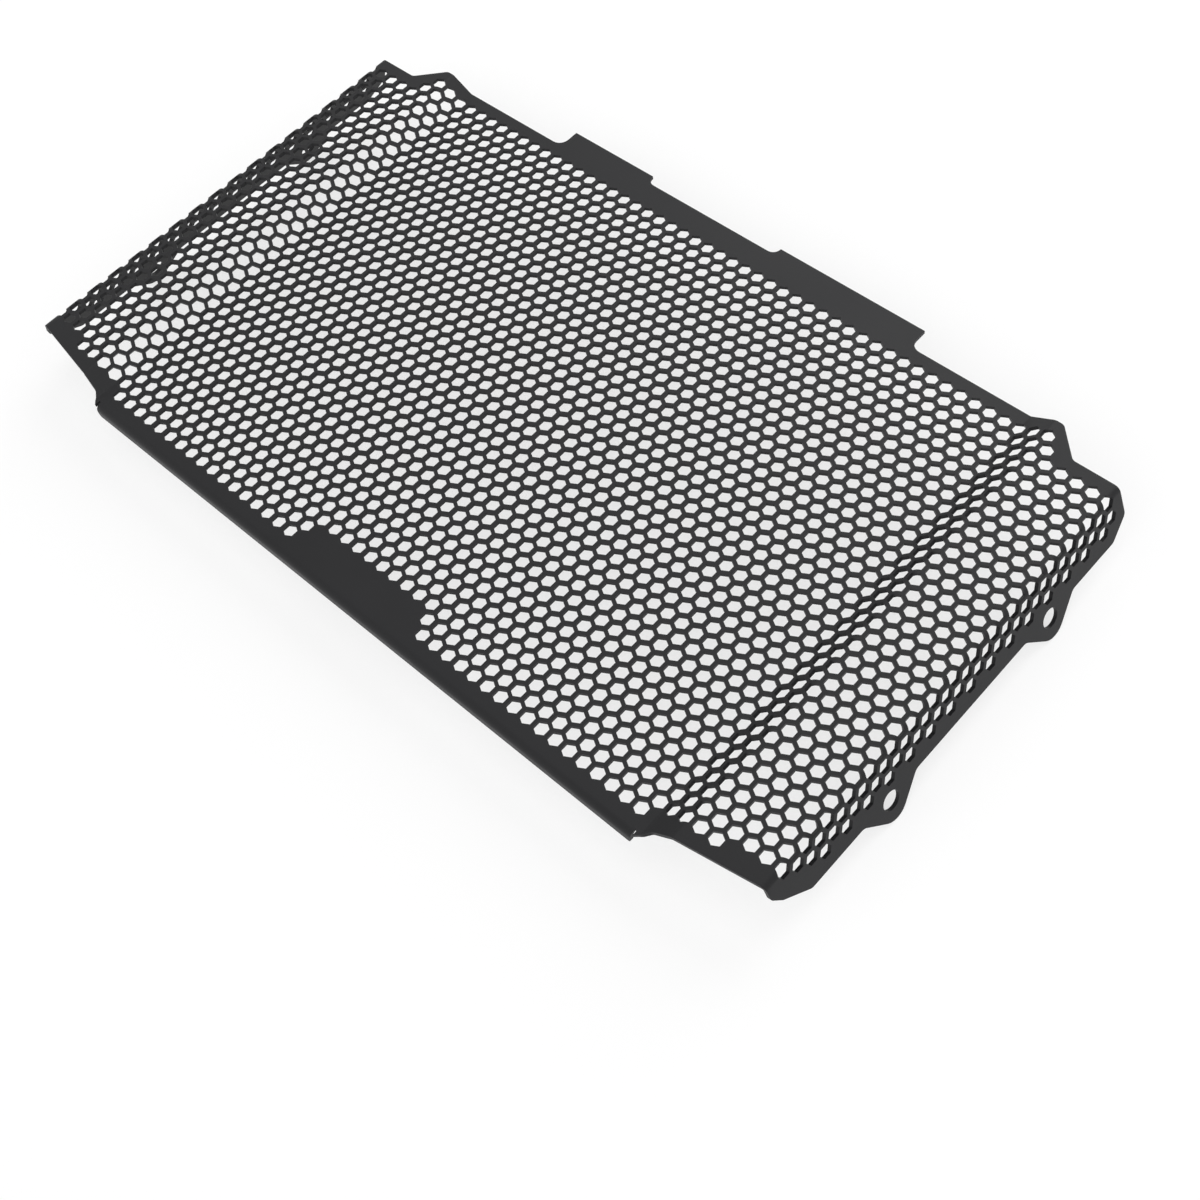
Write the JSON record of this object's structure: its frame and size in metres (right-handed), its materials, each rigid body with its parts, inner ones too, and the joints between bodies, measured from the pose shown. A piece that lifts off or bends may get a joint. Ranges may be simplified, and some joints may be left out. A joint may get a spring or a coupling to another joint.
{
  "type": "radiator guard",
  "caption": "Folded sheet guard with a hexagonal grille that keeps stones off a motorcycle's radiator. Its end flanges carry fixing ears, and a short lip stiffens the lower edge.",
  "frame": {"origin": "middle of the guard's outline, on the plane that touches the tips of the four fixing ears", "axes": "+X along the guard to its right end, +Y up its face towards the two upper tabs, +Z out of the front"},
  "size_m": [0.4004, 0.227, 0.0286],
  "materials": {
    "powder_coat": "satin"
  },
  "bodies": {
    "root": {"guard": "powder_coat"}
  },
  "joints": []
}
